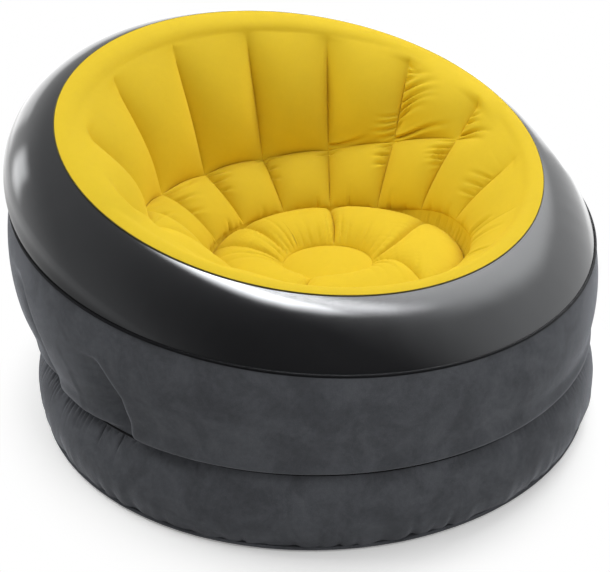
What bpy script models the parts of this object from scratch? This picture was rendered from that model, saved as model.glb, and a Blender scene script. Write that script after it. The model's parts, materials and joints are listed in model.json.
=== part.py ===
# Inflatable tub chair: one air chamber of welded plastic film with a fluted seat.
# Webs and rings of film inside hold its shape, and a plug valve at the back fills and empties it.
# Metres, +Z up. The front faces -Y, and the origin is on the floor under the middle of the base.
#
# The seat axis is a vertical line through the middle of the seat. Every panel is one section in the
# half plane at an angle about that axis, from the back (+Y) toward +X, swept right round.
# A section is a list of (radius, height) points with the open air on its left.

import math
from collections import namedtuple

import bmesh
import bpy
from mathutils import Matrix, Vector

Loop = namedtuple("Loop", "half_width half_depth middle height slope_share")

# Film, welds and the gap left between pieces that touch
FILM = 0.0005
CLEARANCE = 0.0003
SEAM_RADIUS = 0.002
SPLIT = 0.0006
OVERRUN = 0.004

# The closed seams that the body hangs from. Each is an ellipse: half its width and depth, its middle
# behind the origin, its height there, and its rise toward the back as a share of the way.
SHOULDER_HALF_WIDTH = 0.556
RIM_WIDTH_SHARE = 0.8507
RIM_HALF_WIDTH = SHOULDER_HALF_WIDTH * RIM_WIDTH_SHARE
RIM_HALF_DEPTH = 0.409
RIM_MIDDLE = 0.012
RIM_HEIGHT = 0.510
RIM_SLOPE_SHARE = 0.356
SHOULDER_HALF_DEPTH = 0.535
SHOULDER_MIDDLE = 0.018
SHOULDER_HEIGHT = 0.393
SHOULDER_SLOPE_SHARE = 0.179
WAIST_HALF_WIDTH = 0.525
WAIST_HALF_DEPTH = 0.531
WAIST_MIDDLE = 0.003
WAIST_HEIGHT = 0.135
FOOT_HALF_WIDTH = 0.550
FOOT_HALF_DEPTH = 0.543
FOOT_HEIGHT = 0.007

# How far the film swells out between those seams
BAND_CROWN = 0.058
BAND_FRONT_CROWN = 0.012
BAND_FADE_POWER = 1.6
WALL_CROWN = 0.035
WALL_FRONT_CROWN = 0.012
WALL_FADE_POWER = 1.0
BASE_CROWN = 0.018
FLOOR_CONTACT_SHARE = 0.92

# Seat: 15 spokes, so that one flute stands in the middle of the back
SPOKES = 15
STEPS_PER_FLUTE = 4
SEAT_MIDDLE = -0.060
SEAT_SLOPE_SHARE = 0.057

# Rim roll, flutes and the crease that they end in
ROLL_WIDTH = 0.047
ROLL_CROWN = 0.008
ROLL_LEAN_SHARE = 0.60
FLUTE_CROWN = 0.034
FLUTE_TOP_SHARE = 0.60
CREASE_DEPTH = 0.0655
CREASE_BACK_SHARE = 0.74
CREASE_FRONT_SHARE = 0.22
CREASE_END_ANGLE = math.radians(88.0)
CREASE_FADE_POWER = 2.6
ROUND_POWER = 0.8

# Pillows below the crease, the well that they drop into, and the tufted disc in it
PILLOW_CROWN_SHARE = 0.20
PILLOW_VALLEY_SHARE = 0.15
WELL_RADIUS = 0.258
WELL_HEIGHT = 0.298
WELL_DEPTH = 0.036
WELL_BATTER = 0.0115
WELL_TUCK = 0.008
WELL_SINK = 0.024
WELL_LOW_ANGLE = math.radians(60.0)
WELL_HIGH_ANGLE = math.radians(100.0)
DISC_CROWN = 0.042
CENTRE_RADIUS = 0.087
CENTRE_DROP = 0.012
CENTRE_DOME = 0.012
LOBE_ANGLES = (36.0, 90.0, 174.0, 234.0, 318.0, 342.0)
LOBE_DEPTH_SHARE = 0.30

# Webs under the spokes, and the pinches that they pull in the side wall round the back
PINCH_DEPTH = 0.020
PINCH_HEIGHT_SHARE = 0.70
PINCH_SHAPE_POWER = 0.6
PINCH_LAST_ANGLE = math.radians(110.0)
FRONT_WEB_REACH_SHARE = 0.55

# Ring beams of the seat and the base, and their vents
WEB_HOLE_RADIUS = 0.120
BASE_BEAM_RADIUS = 0.350
VENT_HEIGHT = 0.030
VENT_EVERY = 10

# Rows of faces along each section
PILLOW_ROWS = 5
FLUTE_ROWS = 6
ROLL_ROWS = 3
DOME_ROWS = 2
DISC_ROWS = 4
BAND_ROWS = 4
WALL_ROWS = 6
BASE_ROWS = 6

# Valve in the back of the side wall. Heights along its axis count out from the flange's face.
VALVE_ROW = 4
FLANGE_RADIUS = 0.026
FLANGE_THICKNESS = 0.0015
FLANGE_ROUND = 0.0004
NECK_BORE_RADIUS = 0.0178
NECK_WALL = 0.0015
NECK_DEPTH = 0.013
PLUG_LID_RADIUS = 0.021
PLUG_LID_THICKNESS = 0.0015
PLUG_SKIRT_DEPTH = 0.009
PLUG_SKIRT_WALL = 0.0014
PLUG_SKIRT_TAPER = 0.0020
PLUG_HINGE_RADIUS = 0.0236
PLUG_HINGE_HEIGHT = 0.0012
NOZZLE_BORE_RADIUS = 0.0070
NOZZLE_WALL = 0.0015
NOZZLE_DEPTH = 0.007
CAP_RADIUS = 0.0105
CAP_THICKNESS = 0.0012
CAP_SKIRT_DEPTH = 0.0036
CAP_SKIRT_TAPER = 0.0006
CAP_HINGE_RADIUS = 0.0130
CAP_HINGE_RISE = 0.0010
CAP_PULL_LENGTH = 0.0035
STRAP_WIDTH = 0.010
STRAP_SETBACK = 0.0005
ANCHOR_HEIGHT = 0.0009
ANCHOR_LENGTH = 0.0016
FLAP_RADIUS = 0.0080
FLAP_HINGE_OFFSET = 0.0002
FLAP_THICKNESS = 0.0006
TURNED_STEPS = 32

RIM = Loop(RIM_HALF_WIDTH, RIM_HALF_DEPTH, RIM_MIDDLE, RIM_HEIGHT, RIM_SLOPE_SHARE)
SHOULDER = Loop(SHOULDER_HALF_WIDTH, SHOULDER_HALF_DEPTH, SHOULDER_MIDDLE, SHOULDER_HEIGHT,
                SHOULDER_SLOPE_SHARE)
WAIST = Loop(WAIST_HALF_WIDTH, WAIST_HALF_DEPTH, WAIST_MIDDLE, WAIST_HEIGHT, 0.0)
FOOT = Loop(FOOT_HALF_WIDTH, FOOT_HALF_DEPTH, 0.0, FOOT_HEIGHT, 0.0)
DISC_RADIUS = WELL_RADIUS - WELL_BATTER
DISC_EDGE_HEIGHT = WELL_HEIGHT - WELL_DEPTH
CENTRE_HEIGHT = DISC_EDGE_HEIGHT - CENTRE_DROP
COLUMNS = SPOKES * STEPS_PER_FLUTE
WEB_GAP = FILM + CLEARANCE
MERGE = FILM / 10

# Colour, roughness and metallic value of each material
YELLOW_FLOCK = ("yellow_flock", (0.83, 0.58, 0.02), 0.90, 0.0)
GLOSS_VINYL = ("gloss_vinyl", (0.035, 0.035, 0.04), 0.12, 0.0)
SLATE_FLOCK = ("slate_flock", (0.045, 0.048, 0.055), 0.85, 0.0)
BLACK_WELD = ("black_weld", (0.015, 0.015, 0.017), 0.35, 0.0)
BEAM_FILM = ("beam_film", (0.30, 0.31, 0.33), 0.40, 0.0)
VALVE_PLASTIC = ("valve_plastic", (0.06, 0.06, 0.065), 0.45, 0.0)


# Scene set-up

def clear_scene():
    for item in list(bpy.data.objects):
        bpy.data.objects.remove(item, do_unlink=True)


def new_collection(name):
    collection = bpy.data.collections.new(name)
    bpy.context.scene.collection.children.link(collection)
    return collection


def material_of(spec):
    name, colour, roughness, metallic = spec
    material = bpy.data.materials.get(name)
    if material is None:
        material = bpy.data.materials.new(name)
        material.use_nodes = True
        shader = material.node_tree.nodes["Principled BSDF"]
        shader.inputs["Base Color"].default_value = (*colour, 1.0)
        shader.inputs["Roughness"].default_value = roughness
        shader.inputs["Metallic"].default_value = metallic
        material.diffuse_color = (*colour, 1.0)
    return material


def add_object(name, data, spec):
    item = bpy.data.objects.new(name, data)
    data.materials.append(material_of(spec))
    chair.objects.link(item)
    return item


# Lines in a section

def arc(start, end, crown, rows):
    # Points on a circle's arc from start to end, which stands off its chord by crown, on the left
    chord = end - start
    radius = (chord.length_squared / 4 + crown ** 2) / (2 * crown)
    half = math.asin(chord.length / (2 * radius))
    along = chord.normalized()
    left = Vector((-along.y, along.x))
    points = []
    for row in range(rows + 1):
        lean = half * (2 * row / rows - 1)
        stand_off = radius * math.cos(lean) - radius + crown
        points.append((start + end) / 2 + along * radius * math.sin(lean) + left * stand_off)
    return points


def end_shares(rows):
    # Shares of a length whose steps close up toward both ends
    return [(1 - math.cos(math.pi * row / rows)) / 2 for row in range(rows + 1)]


def swell(start, end, crown, shape, rows):
    # Points from start to end that stand off the straight line by crown times the shape
    chord = end - start
    left = Vector((-chord.y, chord.x)).normalized()
    return [start + chord * share + left * crown * shape(share) for share in end_shares(rows)]


def round_shape(share):
    return 2 * math.sqrt(max(0.0, share * (1 - share)))


def toward(start, end, distance):
    return start + (end - start).normalized() * distance


def inner_side(points, distance):
    # The same line moved to its right, into the air chamber
    moved = []
    for index, point in enumerate(points):
        before = points[max(index - 1, 0)]
        after = points[min(index + 1, len(points) - 1)]
        step_in = (point - before).normalized() if index else (after - point).normalized()
        step_out = (after - point).normalized() if index < len(points) - 1 else step_in
        right_in = Vector((step_in.y, -step_in.x))
        right_out = Vector((step_out.y, -step_out.x))
        bisector = (right_in + right_out).normalized()
        moved.append(point + bisector * distance / bisector.dot(right_in))
    return moved


# Where the half plane at an angle meets the body

def loop_point(loop, angle):
    across = math.sin(angle) / loop.half_width
    along = math.cos(angle) / loop.half_depth
    offset = (SEAT_MIDDLE - loop.middle) / loop.half_depth
    square = across ** 2 + along ** 2
    half_linear = along * offset
    radius = (math.sqrt(half_linear ** 2 - square * (offset ** 2 - 1)) - half_linear) / square
    depth = SEAT_MIDDLE + radius * math.cos(angle)
    return Vector((radius, loop.height + loop.slope_share * (depth - loop.middle)))


def seat_point(radius, height, angle):
    return Vector((radius, height - SEAT_SLOPE_SHARE * radius * math.cos(angle)))


def from_back(angle):
    return abs((angle + math.pi) % math.tau - math.pi)


def well_edge(angle):
    # The weld round the well. Round the back it is tucked in and sunk behind the disc.
    share = (from_back(angle) - WELL_LOW_ANGLE) / (WELL_HIGH_ANGLE - WELL_LOW_ANGLE)
    share = min(1.0, max(0.0, share))
    low = 1 - share ** 2 * (3 - 2 * share)
    return seat_point(WELL_RADIUS - WELL_TUCK * low, WELL_HEIGHT - WELL_SINK * low, angle)


def crease_fade(angle):
    # 1 in the middle of the back, 0 where the crease has run out at the sides
    return max(0.0, 1 - (from_back(angle) / CREASE_END_ANGLE) ** CREASE_FADE_POWER)


def flute_wave(angle):
    # 0 on a spoke and 1 halfway between two
    return abs(math.cos(SPOKES * angle / 2)) ** ROUND_POWER


def roll_edge(angle):
    rim = loop_point(RIM, angle)
    fall = rim - seat_point(WELL_RADIUS, WELL_HEIGHT, angle)
    lean = math.atan2(fall.y, fall.x) * ROLL_LEAN_SHARE
    return rim - ROLL_WIDTH * Vector((math.cos(lean), math.sin(lean)))


def crease_point(angle):
    top = roll_edge(angle)
    well = seat_point(WELL_RADIUS, WELL_HEIGHT, angle)
    fade = crease_fade(angle)
    share = CREASE_FRONT_SHARE + (CREASE_BACK_SHARE - CREASE_FRONT_SHARE) * fade
    chord = well - top
    out = Vector((-chord.y, chord.x)).normalized()
    return top + chord * share + out * CREASE_DEPTH * fade ** 2


# Sections of the seat, from its middle out to the rim

def disc_section(angle):
    nearest = min(abs((math.degrees(angle) - lobe + 180) % 360 - 180) for lobe in LOBE_ANGLES)
    cleft = max(0.0, 1 - nearest * COLUMNS / 360)
    crown = DISC_CROWN * (1 - LOBE_DEPTH_SHARE * cleft)
    middle = seat_point(0.0, CENTRE_HEIGHT + CENTRE_DOME, angle)
    groove = seat_point(CENTRE_RADIUS, CENTRE_HEIGHT, angle)
    edge = seat_point(DISC_RADIUS - SPLIT, DISC_EDGE_HEIGHT, angle)
    dome = []
    for row in range(DOME_ROWS):
        share = row / DOME_ROWS
        height = CENTRE_HEIGHT + CENTRE_DOME * (1 - share ** 2)
        dome.append(seat_point(CENTRE_RADIUS * share, height, angle))
    dome[0] = middle
    return dome + arc(groove, edge, crown, DISC_ROWS)


def well_wall_section(angle):
    bottom = seat_point(DISC_RADIUS + SPLIT, DISC_EDGE_HEIGHT, angle)
    top = well_edge(angle)
    return [bottom, toward(top, bottom, SPLIT)]


def pillow_section(angle):
    well = well_edge(angle)
    crease = crease_point(angle)
    wave = PILLOW_VALLEY_SHARE + (1 - PILLOW_VALLEY_SHARE) * flute_wave(angle)
    crown = PILLOW_CROWN_SHARE * (crease - well).length * wave
    return swell(toward(well, crease, SPLIT), toward(crease, well, SPLIT), crown, round_shape, PILLOW_ROWS)


def flute_shape(share):
    return round_shape(share) * (1 - (1 - FLUTE_TOP_SHARE) * share)


def back_section(angle):
    crease = crease_point(angle)
    top = roll_edge(angle)
    rim = loop_point(RIM, angle)
    crown = FLUTE_CROWN * math.sqrt(crease_fade(angle)) * flute_wave(angle)
    flute = swell(toward(crease, top, SPLIT), top, crown, flute_shape, FLUTE_ROWS)
    roll = arc(top, toward(rim, top, SEAM_RADIUS + CLEARANCE), ROLL_CROWN, ROLL_ROWS)
    return flute + roll[1:]


# Sections of the outside, from the rim down to the floor

def span(upper, lower, crown, rows, angle):
    # One panel between two seams, which stops short of both
    start = loop_point(upper, angle)
    end = loop_point(lower, angle)
    reach = SEAM_RADIUS + CLEARANCE
    return arc(toward(start, end, reach), toward(end, start, reach), crown, rows)


def fullness(back, front, power, angle):
    # Crown of a panel that stands out more at the back of the chair than at its front
    return front + (back - front) * ((1 + math.cos(angle)) / 2) ** power


def band_section(angle):
    crown = fullness(BAND_CROWN, BAND_FRONT_CROWN, BAND_FADE_POWER, angle)
    return span(RIM, SHOULDER, crown, BAND_ROWS, angle)


def pinch(angle, share):
    # Depth of the crease that a web pulls in the wall, at a share of the wall's height
    on_spoke = flute_wave(angle) < flute_wave(math.pi / SPOKES * (1 - 1 / COLUMNS))
    if not on_spoke or from_back(angle) > PINCH_LAST_ANGLE or share >= PINCH_HEIGHT_SHARE:
        return 0.0
    return PINCH_DEPTH * math.sin(math.pi * (share / PINCH_HEIGHT_SHARE) ** PINCH_SHAPE_POWER)


def wall_line(angle):
    crown = fullness(WALL_CROWN, WALL_FRONT_CROWN, WALL_FADE_POWER, angle)
    points = span(SHOULDER, WAIST, crown, WALL_ROWS, angle)
    for row, point in enumerate(points):
        point.x -= pinch(angle, 1 - row / WALL_ROWS)
    return points


def valve_place():
    # Middle of the flat patch that carries the valve, as a depth in Y and a height
    upper, lower = wall_line(0.0)[VALVE_ROW:VALVE_ROW + 2]
    middle = (upper + lower) / 2
    return SEAT_MIDDLE + middle.x, middle.y


def wall_section(angle):
    points = wall_line(angle)
    if from_back(angle) < math.tau / COLUMNS * 1.5:
        for point in points[VALVE_ROW:VALVE_ROW + 2]:
            point.x = (valve_place()[0] - SEAT_MIDDLE) / math.cos(angle)
    return points


def base_section(angle):
    return span(WAIST, FOOT, BASE_CROWN, BASE_ROWS, angle)


def floor_section(angle):
    foot = loop_point(FOOT, angle)
    contact = Vector((foot.x * FLOOR_CONTACT_SHARE, FILM / 2))
    return [toward(foot, contact, SEAM_RADIUS + CLEARANCE), contact, Vector((0.0, FILM / 2))]


# Sections of what lies inside

def waist_web_section(angle):
    outer = loop_point(WAIST, angle)
    outer.x -= SEAM_RADIUS + CLEARANCE
    return [Vector((WEB_HOLE_RADIUS, WAIST_HEIGHT)), outer]


def vented(angle, height):
    # Every few columns the lower edge of a ring beam is cut up to let the air through
    column = round(angle / math.tau * COLUMNS)
    return height + (VENT_HEIGHT if column % VENT_EVERY in (0, 2) else 0.0)


def ring_beam_section(radius, top, bottom, slope_share, angle):
    upper = top - slope_share * radius * math.cos(angle)
    return [Vector((radius, vented(angle, bottom))), Vector((radius, upper))]


def well_beam_section(angle):
    top = DISC_EDGE_HEIGHT - WEB_GAP
    bottom = WAIST_HEIGHT + WEB_GAP
    return ring_beam_section(DISC_RADIUS, top, bottom, SEAT_SLOPE_SHARE, angle)


def centre_beam_section(angle):
    top = CENTRE_HEIGHT - WEB_GAP
    return ring_beam_section(CENTRE_RADIUS, top, WEB_GAP, SEAT_SLOPE_SHARE, angle)


def base_beam_section(angle):
    top = WAIST_HEIGHT - WEB_GAP
    return ring_beam_section(BASE_BEAM_RADIUS, top, WEB_GAP, 0.0, angle)


def seam_section(loop, angle):
    middle = loop_point(loop, angle)
    corners = [Vector((-1, 0)), Vector((0, 1)), Vector((1, 0)), Vector((0, -1)), Vector((-1, 0))]
    return [middle + corner * SEAM_RADIUS for corner in corners]


def spoke_web_outline(angle):
    # A web under one spoke: along the valley, out to the side wall or near it, and back on the waist
    floor_line = WAIST_HEIGHT + WEB_GAP
    valley = pillow_section(angle)[:-1] + [crease_point(angle), roll_edge(angle)]
    top_edge = inner_side(valley, WEB_GAP)
    inner_foot = Vector((top_edge[0].x, floor_line))
    if from_back(angle) <= PINCH_LAST_ANGLE:
        outer_edge = inner_side(wall_line(angle)[WALL_ROWS // 2:], WEB_GAP)
        outer_edge[-1] = Vector((outer_edge[-1].x - SEAM_RADIUS - WEB_GAP, floor_line))
    else:
        room = loop_point(WAIST, angle).x - WELL_RADIUS
        outer_edge = [Vector((WELL_RADIUS + room * FRONT_WEB_REACH_SHARE, floor_line))]
    return [inner_foot] + top_edge + outer_edge


# Makers

def sweep(name, section, spec, film=True):
    # One section function swept round the seat axis, given the film's thickness
    lines = [section(math.tau * column / COLUMNS) for column in range(COLUMNS + 1)]
    rows = len(lines[0]) - 1
    shell = bmesh.new()
    bmesh.ops.create_grid(shell, x_segments=COLUMNS, y_segments=rows, size=1)
    for vertex in shell.verts:
        column = round((vertex.co.x + 1) / 2 * COLUMNS)
        row = round((vertex.co.y + 1) / 2 * rows)
        angle = math.tau * column / COLUMNS
        radius, height = lines[column][row]
        vertex.co = (radius * math.sin(angle), SEAT_MIDDLE + radius * math.cos(angle), height)
    bmesh.ops.remove_doubles(shell, verts=shell.verts, dist=MERGE)
    bmesh.ops.recalc_face_normals(shell, faces=shell.faces)
    mesh = bpy.data.meshes.new(name)
    shell.to_mesh(mesh)
    shell.free()
    mesh.shade_smooth()
    item = add_object(name, mesh, spec)
    if film:
        wall = item.modifiers.new("Film", "SOLIDIFY")
        wall.thickness = FILM
        wall.offset = 0.0
        wall.use_even_offset = True
    return item


def flat_web(name, outline, angle, spec):
    # A flat outline in the half plane at an angle, given the film's thickness
    curve = bpy.data.curves.new(name, "CURVE")
    curve.dimensions = "2D"
    curve.fill_mode = "BOTH"
    curve.extrude = FILM / 2
    spline = curve.splines.new("POLY")
    spline.points.add(len(outline) - 1)
    for slot, point in zip(spline.points, outline):
        slot.co = (point.x, point.y, 0.0, 1.0)
    spline.use_cyclic_u = True
    item = add_object(name, curve, spec)
    outward = Vector((math.sin(angle), math.cos(angle), 0.0))
    upward = Vector((0.0, 0.0, 1.0))
    turned = Matrix((outward, upward, outward.cross(upward))).transposed()
    item.matrix_world = Matrix.Translation((0.0, SEAT_MIDDLE, 0.0)) @ turned.to_4x4()
    return item


def turned_piece(name, outline, ring, hinge=None):
    # A profile of (radius, height) points turned about the valve's axis, and carried by its hinge
    mesh = bpy.data.meshes.new(name)
    count = len(outline)
    edges = [(index, index + 1) for index in range(count - 1)]
    if ring:
        edges.append((count - 1, 0))
    mesh.from_pydata([(radius, 0.0, height) for radius, height in outline], edges, [])
    item = add_object(name, mesh, VALVE_PLASTIC)
    screw = item.modifiers.new("Turn", "SCREW")
    screw.steps = TURNED_STEPS
    screw.render_steps = TURNED_STEPS
    screw.use_merge_vertices = True
    screw.merge_threshold = MERGE
    hang(item, valve_frame(), hinge)
    return item


def hang(item, place, parent):
    # Puts an item at a place in the world under its parent
    if parent is not None:
        item.parent = parent
        item.matrix_parent_inverse = parent.matrix_world.inverted()
    item.matrix_basis = place
    bpy.context.view_layer.update()


def hinge_empty(name, radius, height, parent=None):
    # The axis of a valve piece, at a radius below the valve's middle and a height off the flange
    empty = bpy.data.objects.new(name, None)
    chair.objects.link(empty)
    hang(empty, valve_frame() @ Matrix.Translation((0.0, radius, height)), parent)
    return empty


def valve_frame():
    # The valve's own frame: its Z points out of the wall and its -Y points up
    depth, height = valve_place()
    face = depth + FILM / 2 + CLEARANCE + FLANGE_THICKNESS
    return Matrix.Translation((0.0, face, height)) @ Matrix.Rotation(math.radians(-90), 4, "X")


def strap_block(name, inner, outer, bottom, top):
    # A block across the valve's hinge side, between two radii and two heights
    block = bmesh.new()
    bmesh.ops.create_cube(block, size=1)
    size = Matrix.Diagonal((STRAP_WIDTH, abs(outer - inner), top - bottom, 1.0))
    place = Matrix.Translation((0.0, (inner + outer) / 2, (bottom + top) / 2))
    bmesh.ops.transform(block, matrix=place @ size, verts=block.verts)
    mesh = bpy.data.meshes.new(name)
    block.to_mesh(mesh)
    block.free()
    return place_cutter(name, mesh)


def place_cutter(name, mesh):
    item = bpy.data.objects.new(name, mesh)
    cutters.objects.link(item)
    item.matrix_world = valve_frame()
    item.hide_render = True
    item.display_type = "WIRE"
    return item


def combine(item, operation, other):
    step = item.modifiers.new(operation.title(), "BOOLEAN")
    step.operation = operation
    step.object = other
    return step


# Pieces

def make_seat():
    sweep("seat_disc", disc_section, YELLOW_FLOCK)
    sweep("seat_well_wall", well_wall_section, YELLOW_FLOCK)
    sweep("seat_bolster_ring", pillow_section, YELLOW_FLOCK)
    sweep("seat_back_panel", back_section, YELLOW_FLOCK)


def make_outside():
    sweep("glossy_band", band_section, GLOSS_VINYL)
    wall = sweep("side_wall", wall_section, SLATE_FLOCK)
    sweep("base_ring", base_section, SLATE_FLOCK)
    sweep("floor_sheet", floor_section, SLATE_FLOCK)
    hole = bmesh.new()
    radius = NECK_BORE_RADIUS + NECK_WALL + CLEARANCE
    bmesh.ops.create_cone(hole, cap_ends=True, segments=TURNED_STEPS, radius1=radius, radius2=radius,
                          depth=2 * OVERRUN)
    mesh = bpy.data.meshes.new("valve_hole")
    hole.to_mesh(mesh)
    hole.free()
    combine(wall, "DIFFERENCE", place_cutter("valve_hole", mesh))


def make_seams():
    for name, loop in (("rim_seam", RIM), ("shoulder_seam", SHOULDER), ("waist_seam", WAIST),
                       ("foot_seam", FOOT)):
        sweep(name, lambda angle, loop=loop: seam_section(loop, angle), BLACK_WELD, film=False)


def make_inside():
    sweep("waist_web", waist_web_section, BEAM_FILM)
    sweep("well_ring_beam", well_beam_section, BEAM_FILM)
    sweep("centre_ring_beam", centre_beam_section, BEAM_FILM)
    sweep("base_ring_beam", base_beam_section, BEAM_FILM)
    for spoke in range(SPOKES):
        angle = math.tau * (spoke + 0.5) / SPOKES
        flat_web(f"spoke_web_{spoke + 1:02d}", spoke_web_outline(angle), angle, BEAM_FILM)


def make_flange():
    neck_radius = NECK_BORE_RADIUS + NECK_WALL
    outline = [
        (NECK_BORE_RADIUS, 0.0),
        (FLANGE_RADIUS - FLANGE_ROUND, 0.0),
        (FLANGE_RADIUS, -FLANGE_ROUND),
        (FLANGE_RADIUS, -FLANGE_THICKNESS),
        (neck_radius, -FLANGE_THICKNESS),
        (neck_radius, -NECK_DEPTH),
        (NECK_BORE_RADIUS, -NECK_DEPTH),
    ]
    flange = turned_piece("valve_flange", outline, ring=True)
    inner = PLUG_HINGE_RADIUS + STRAP_SETBACK
    anchor = strap_block("plug_anchor", inner, inner + ANCHOR_LENGTH, -FLANGE_THICKNESS / 2, ANCHOR_HEIGHT)
    combine(flange, "UNION", anchor)


def plug_heights():
    # Underside and top of the plug's lid
    return CLEARANCE, CLEARANCE + PLUG_LID_THICKNESS


def make_plug(hinge):
    under, top = plug_heights()
    skirt = NECK_BORE_RADIUS - CLEARANCE
    tip = skirt - PLUG_SKIRT_TAPER
    nozzle = NOZZLE_BORE_RADIUS + NOZZLE_WALL
    outline = [
        (NOZZLE_BORE_RADIUS, top),
        (PLUG_LID_RADIUS - FLANGE_ROUND, top),
        (PLUG_LID_RADIUS, top - FLANGE_ROUND),
        (PLUG_LID_RADIUS, under),
        (skirt, under),
        (tip, -PLUG_SKIRT_DEPTH),
        (tip - PLUG_SKIRT_WALL, -PLUG_SKIRT_DEPTH),
        (skirt - PLUG_SKIRT_WALL, under),
        (nozzle, under),
        (nozzle, -NOZZLE_DEPTH),
        (NOZZLE_BORE_RADIUS, -NOZZLE_DEPTH),
    ]
    plug = turned_piece("valve_plug", outline, ring=True, hinge=hinge)
    strap = strap_block("plug_strap", PLUG_LID_RADIUS - STRAP_SETBACK * 2, PLUG_HINGE_RADIUS - STRAP_SETBACK,
                        under, top)
    inner = CAP_HINGE_RADIUS + STRAP_SETBACK
    anchor = strap_block("cap_anchor", inner, inner + ANCHOR_LENGTH, (under + top) / 2, top + ANCHOR_HEIGHT)
    combine(plug, "UNION", strap)
    combine(plug, "UNION", anchor)


def make_cap(hinge):
    under = plug_heights()[1] + CLEARANCE
    top = under + CAP_THICKNESS
    skirt = NOZZLE_BORE_RADIUS - CLEARANCE
    outline = [
        (0.0, top),
        (CAP_RADIUS - FLANGE_ROUND, top),
        (CAP_RADIUS, top - FLANGE_ROUND),
        (CAP_RADIUS, under),
        (skirt, under),
        (skirt - CAP_SKIRT_TAPER, under - CAP_SKIRT_DEPTH),
        (0.0, under - CAP_SKIRT_DEPTH),
    ]
    cap = turned_piece("valve_cap", outline, ring=False, hinge=hinge)
    strap = strap_block("cap_strap", CAP_RADIUS - STRAP_SETBACK * 2, CAP_HINGE_RADIUS - STRAP_SETBACK, under, top)
    pull = strap_block("cap_pull", -(CAP_RADIUS - STRAP_SETBACK * 2), -(CAP_RADIUS + CAP_PULL_LENGTH), under, top)
    combine(cap, "UNION", strap)
    combine(cap, "UNION", pull)


def flap_height():
    return -NOZZLE_DEPTH - CLEARANCE


def make_flap(hinge):
    top = flap_height()
    outline = [
        (0.0, top),
        (FLAP_RADIUS, top),
        (FLAP_RADIUS, top - FLAP_THICKNESS),
        (0.0, top - FLAP_THICKNESS),
    ]
    turned_piece("valve_flap", outline, ring=False, hinge=hinge)


def make_valve():
    make_flange()
    lid = plug_heights()[1]
    plug_hinge = hinge_empty("plug_hinge", PLUG_HINGE_RADIUS, PLUG_HINGE_HEIGHT)
    cap_hinge = hinge_empty("cap_hinge", CAP_HINGE_RADIUS, lid + CAP_HINGE_RISE, plug_hinge)
    flap_hinge = hinge_empty("flap_hinge", -FLAP_RADIUS - FLAP_HINGE_OFFSET, flap_height(), plug_hinge)
    make_plug(plug_hinge)
    make_cap(cap_hinge)
    make_flap(flap_hinge)


clear_scene()
chair = new_collection("inflatable_chair")
cutters = new_collection("cutters")
make_seat()
make_outside()
make_seams()
make_inside()
make_valve()
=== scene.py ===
# Inflatable tub chair: looks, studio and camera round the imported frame.
import json
import math

import bpy
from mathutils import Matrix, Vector, noise

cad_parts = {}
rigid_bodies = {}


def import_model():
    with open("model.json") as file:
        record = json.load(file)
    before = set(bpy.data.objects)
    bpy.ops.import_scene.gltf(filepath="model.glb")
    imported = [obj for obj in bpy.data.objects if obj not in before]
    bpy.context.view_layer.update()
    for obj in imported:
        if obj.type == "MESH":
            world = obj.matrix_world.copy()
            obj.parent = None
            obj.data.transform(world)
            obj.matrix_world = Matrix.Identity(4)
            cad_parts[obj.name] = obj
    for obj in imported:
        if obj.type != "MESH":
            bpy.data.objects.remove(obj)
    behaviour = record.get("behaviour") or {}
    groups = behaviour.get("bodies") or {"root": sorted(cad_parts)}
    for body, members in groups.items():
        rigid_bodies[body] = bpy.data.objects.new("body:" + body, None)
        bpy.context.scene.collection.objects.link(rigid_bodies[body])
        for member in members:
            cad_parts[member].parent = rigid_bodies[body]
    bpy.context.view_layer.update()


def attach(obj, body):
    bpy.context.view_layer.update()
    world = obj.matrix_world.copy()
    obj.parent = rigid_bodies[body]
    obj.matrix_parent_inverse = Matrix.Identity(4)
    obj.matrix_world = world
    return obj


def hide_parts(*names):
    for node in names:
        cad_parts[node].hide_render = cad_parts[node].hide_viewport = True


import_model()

# The closed seams that the body hangs from: ellipses that rise toward the back
loops = {
    "rim": {"halfWidth": 0.473, "halfDepth": 0.409, "middle": 0.012, "height": 0.510, "slope": 0.356},
    "shoulder": {"halfWidth": 0.556, "halfDepth": 0.535, "middle": 0.018, "height": 0.393, "slope": 0.179},
    "waist": {"halfWidth": 0.525, "halfDepth": 0.531, "middle": 0.003, "height": 0.135, "slope": 0.0},
    "foot": {"halfWidth": 0.550, "halfDepth": 0.543, "middle": 0.0, "height": 0.007, "slope": 0.0},
}

# Every panel is a section in the upright half plane at an angle about the seat's middle,
# from the back toward the chair's left hand, swept right round
seat = {"middle": -0.060, "slope": 0.057, "spokes": 15}
film = {"thickness": 0.0008, "merge": 0.00005, "smoothAngle": math.radians(55)}


def loopPoint(name, angle):
    loop = loops[name]
    across = math.sin(angle) / loop["halfWidth"]
    along = math.cos(angle) / loop["halfDepth"]
    offset = (seat["middle"] - loop["middle"]) / loop["halfDepth"]
    square = across ** 2 + along ** 2
    halfLinear = along * offset
    radius = (math.sqrt(halfLinear ** 2 - square * (offset ** 2 - 1)) - halfLinear) / square
    depth = seat["middle"] + radius * math.cos(angle)
    return Vector((radius, loop["height"] + loop["slope"] * (depth - loop["middle"])))


def seatPoint(radius, height, angle):
    return Vector((radius, height - seat["slope"] * radius * math.cos(angle)))


def inSpace(point, angle):
    return Vector((point.x * math.sin(angle), seat["middle"] + point.x * math.cos(angle), point.y))


def fromBack(angle):
    return abs((angle + math.pi) % math.tau - math.pi)


def easeIn(value, low, high):
    # 0 below low and 1 above high, smooth in between
    share = min(1.0, max(0.0, (value - low) / (high - low)))
    return share * share * (3 - 2 * share)


def scatter(index, salt):
    # A fixed number from 0 to 1 for each index
    return math.modf(abs(math.sin(index * 12.9898 + salt * 78.233) * 43758.5453))[0]


def towardPoint(start, end, distance):
    return start + (end - start).normalized() * distance


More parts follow.
